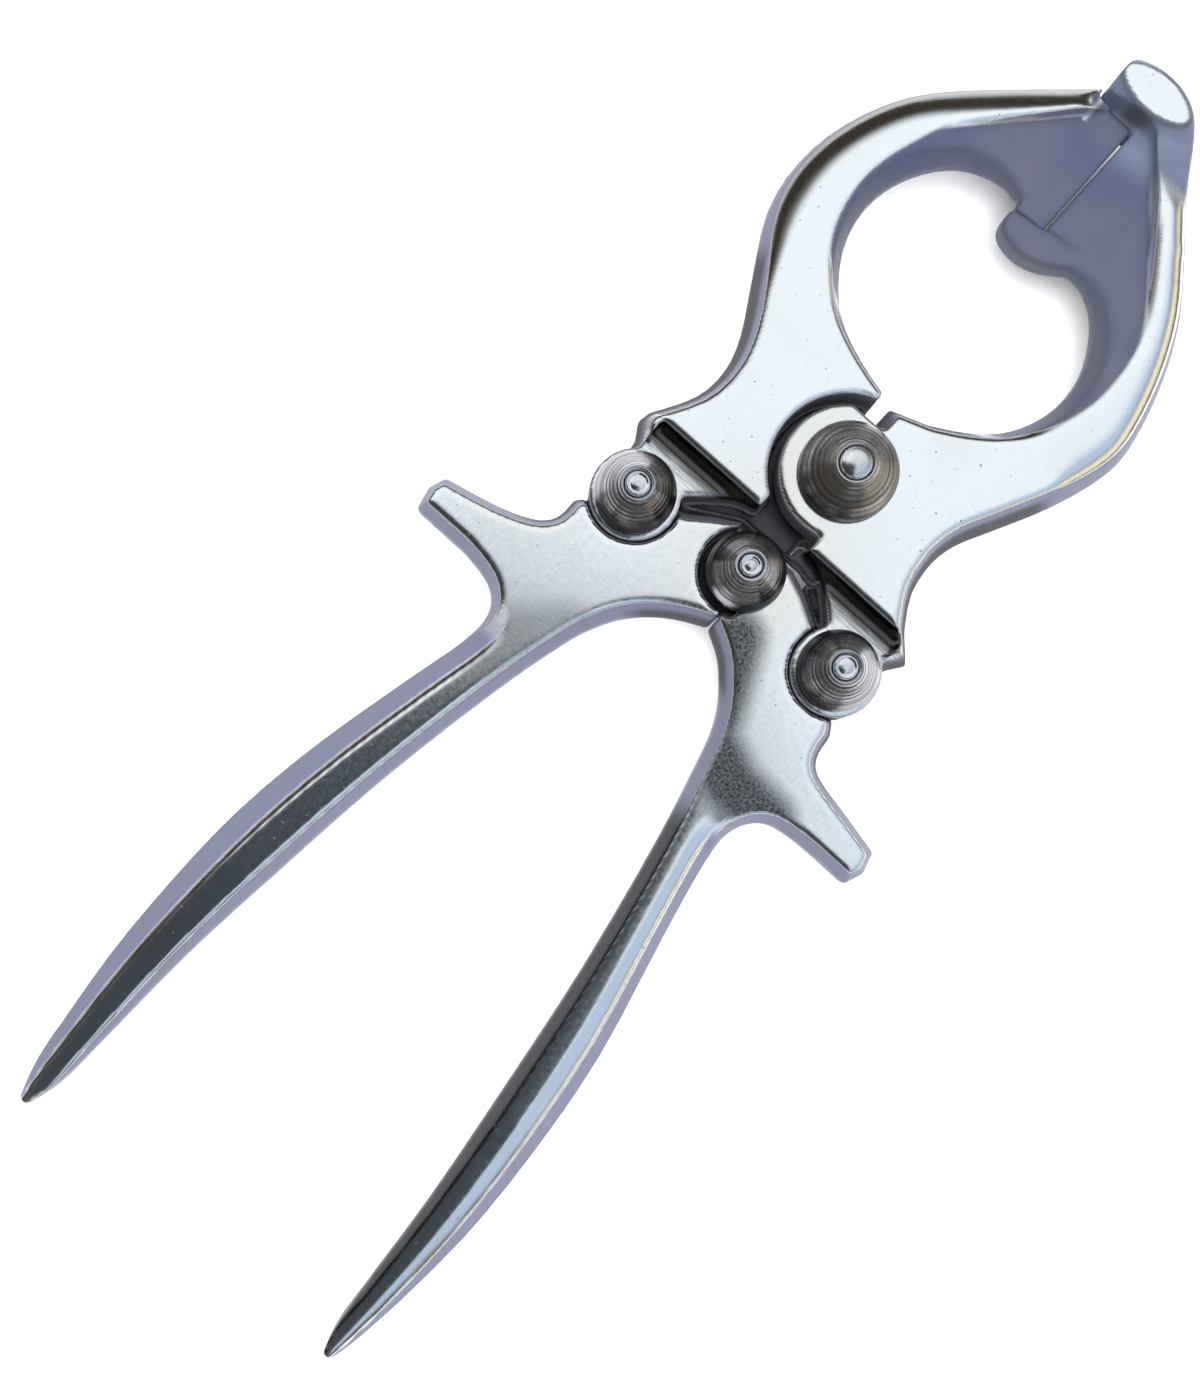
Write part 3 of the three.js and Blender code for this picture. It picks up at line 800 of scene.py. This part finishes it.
def sky_colour(n):
    """Bright over the jaws, dark over the grips, with a low warm band that gives the glints."""
    x, y, z = n.parts(n.tree.nodes.new("ShaderNodeTexCoord").outputs["Generated"])
    right = n.math("MAXIMUM", n.math("SUBTRACT", x, n.times(z, 0.12)), 0.0)
    side = n.math("ADD", n.times(n.math("ABSOLUTE", x), 0.45), n.times(right, 1.3))
    lean = n.math("SUBTRACT", n.math("ADD", y, side), n.times(z, 0.085))
    amount = n.times(n.ramp(lean, 0.0, 9.0), n.ramp(z, 0.45, 4.0))
    cooler = n.ramp(n.math("SUBTRACT", x, n.times(z, 0.10)), 0.0, 3.0)
    shade = n.blend(n.ramp(z, 0.70, 6.0), SHADE_WARM, SHADE_COOL)
    colour = n.blend(amount, shade, n.blend(cooler, SKY_WHITE, SKY_BLUE))
    toward = n.math("ADD", n.times(x, 0.8), n.times(y, 0.45))
    band = n.times(n.ramp(z, 0.15, 8.0), n.ramp(z, 0.60, -7.0))
    return n.blend(n.times(n.ramp(toward, 0.58, 6.0), band), colour, GLINT)


def sky():
    """The world: the sky for reflections, and plain paper where the camera sees past the floor."""
    world = bpy.data.worlds.new("sky")
    bpy.context.scene.world = world
    world.use_nodes = True
    n = Nodes(world.node_tree)
    seen = n.tree.nodes.new("ShaderNodeLightPath").outputs["Is Camera Ray"]
    background = n.tree.nodes.new("ShaderNodeBackground")
    n.put(n.blend(seen, sky_colour(n), PAPER[:3]), background.inputs["Color"])
    output = n.tree.nodes.new("ShaderNodeOutputWorld")
    n.put(background.outputs[0], output.inputs["Surface"])


LIGHTS = {
    "key": {"place": (0.25, 0.35, 1.2), "aim": (0, -0.03, 0), "size": 1.2, "power": 3.0},
    "fill": {"place": (0.0, -0.05, 1.2), "aim": (0, -0.05, 0), "size": 2.6, "power": 26.0},
    "head": {"place": (0.0, -0.065, 0.30), "aim": (0, -0.065, 0), "size": 0.2, "power": 1.1},
}


def area(name, place, aim, size, power):
    """A round soft light that the metal doesn't mirror."""
    light = bpy.data.lights.new(name, "AREA")
    light.shape = "DISK"
    light.size = size
    light.energy = power
    lamp = bpy.data.objects.new(name, light)
    bpy.context.scene.collection.objects.link(lamp)
    lamp.location = place
    lamp.rotation_euler = (Vector(aim) - Vector(place)).to_track_quat("-Z", "Y").to_euler()
    lamp.visible_glossy = False


LENS = {"lens": 34.55, "shift_x": 0.036, "shift_y": 0.080, "clip_start": 0.005, "clip_end": 20}
CAMERA_PLACE = (-0.39, -65.04, 200)
PICTURE_RIGHT = Vector((0.7448, 0.6673, 0))
PICTURE_UP = Vector((-0.6673, 0.7448, 0))


def camera():
    """Straight down from above the middle plane, turned to the photograph's angle."""
    data = bpy.data.cameras.new("camera")
    for setting, value in LENS.items():
        setattr(data, setting, value)
    view = bpy.data.objects.new("camera", data)
    bpy.context.scene.collection.objects.link(view)
    turn = Matrix((PICTURE_RIGHT, PICTURE_UP, Vector((0, 0, 1)))).transposed().to_4x4()
    x, y, height = CAMERA_PLACE
    place = Vector((x * MM, y * MM, MID_Z + height * MM))
    view.matrix_world = Matrix.Translation(place) @ turn
    bpy.context.scene.camera = view


# ---- Build ----
# Each steel's foot value is how much painted shade darkens a cone towards its foot.
TURNED = {
    "turned_steel": {"colour": (0.56, 0.57, 0.61), "dark": (0.10, 0.098, 0.105),
                     "ring_scale": 2600, "rough": 0.24, "foot": 0.70},
    "main_steel": {"colour": (0.62, 0.61, 0.62), "dark": (0.12, 0.11, 0.105),
                   "ring_scale": 2600, "rough": 0.25, "foot": 0.45},
    "pin_steel": {"colour": (0.88, 0.92, 0.96), "dark": (0.62, 0.64, 0.68),
                  "ring_scale": 900, "rough": 0.15, "foot": 0.0},
}
# Radii of the shank and the ends, and the shoulder's height.
PIN_SIZES = {
    "main": (4.0, 2.4, 5.65),
    "left": (3.0, 1.9, 4.75),
    "right": (3.0, 1.9, 4.75),
    "link": (2.5, 1.7, 4.75),
}

forged = forged_steel()
steel = {name: turned_material(name, **look) for name, look in TURNED.items()}
for name, body in LEVERS.items():
    lever(name, body, forged)
for name, body in PINS.items():
    pin(f"{name}_rivet", f"{name}_pin", body, PIN_SIZES[name], steel["pin_steel"])
    finish = steel["main_steel" if name == "main" else "turned_steel"]
    for side in ("front", "back"):
        collar(f"{name}_cone_{side}", f"{name}_collar_{side}", body, PIN_SIZES[name][1], finish)

floor()
sky()
for name, light in LIGHTS.items():
    area(name, **light)
camera()

scene = bpy.context.scene
scene.view_settings.view_transform = "Standard"
scene.view_settings.look = "None"
